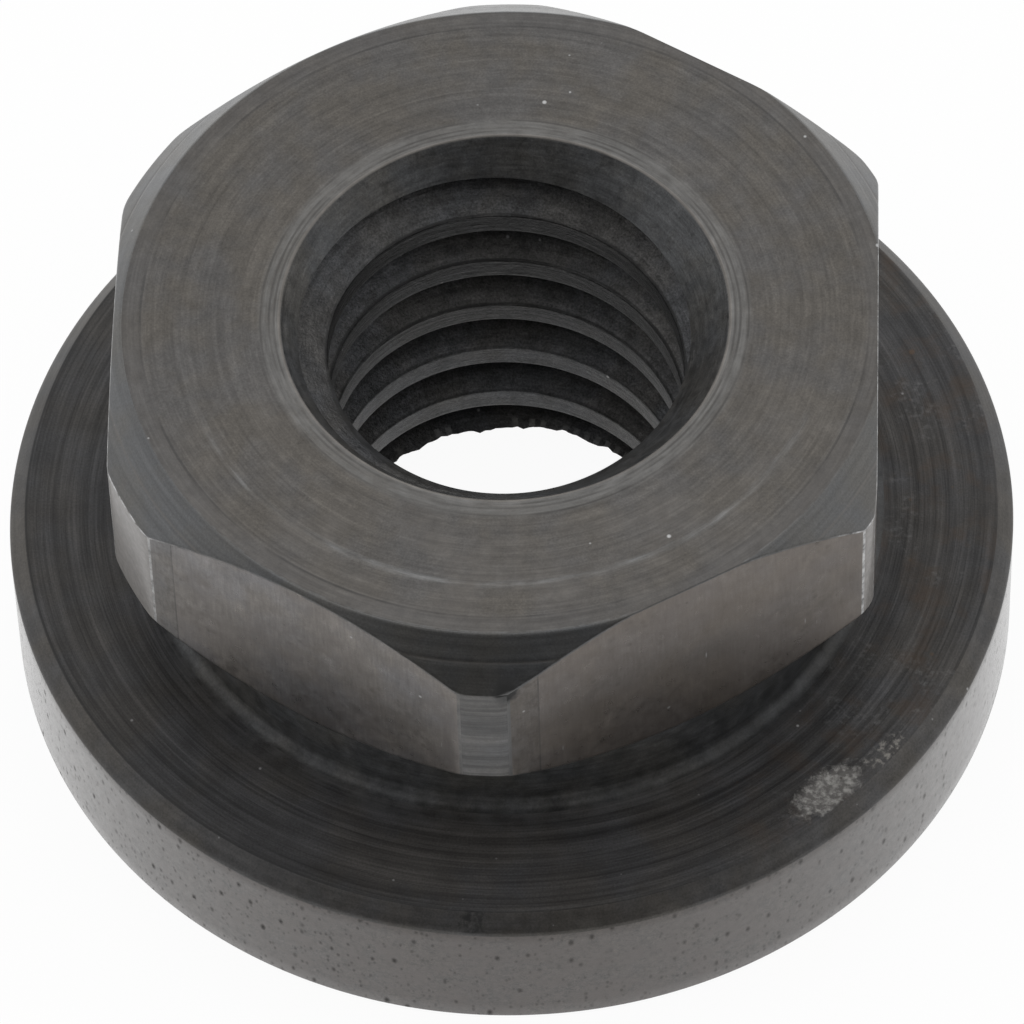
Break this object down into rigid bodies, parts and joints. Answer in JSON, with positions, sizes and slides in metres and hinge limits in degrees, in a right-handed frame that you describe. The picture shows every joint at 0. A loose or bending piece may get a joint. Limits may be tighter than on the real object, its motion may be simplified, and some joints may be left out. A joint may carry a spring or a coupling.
{
  "type": "flange nut",
  "caption": "Flange nut turned from bar: a chamfered hexagon head over a relief groove and a wide flat bearing flange, with a right-hand threaded bore between countersinks.",
  "frame": {"origin": "centre of the bearing face, on the thread's axis", "axes": "+Z along the thread's axis from the bearing face to the head; +X is square to a wrench flat and -Y points through a corner of the hexagon"},
  "size_m": [0.019, 0.019, 0.0092],
  "materials": {
    "black_oxide_steel": "worn black oxide over turned and milled steel, satin"
  },
  "bodies": {
    "root": {"flange_nut": "black_oxide_steel"}
  },
  "joints": []
}
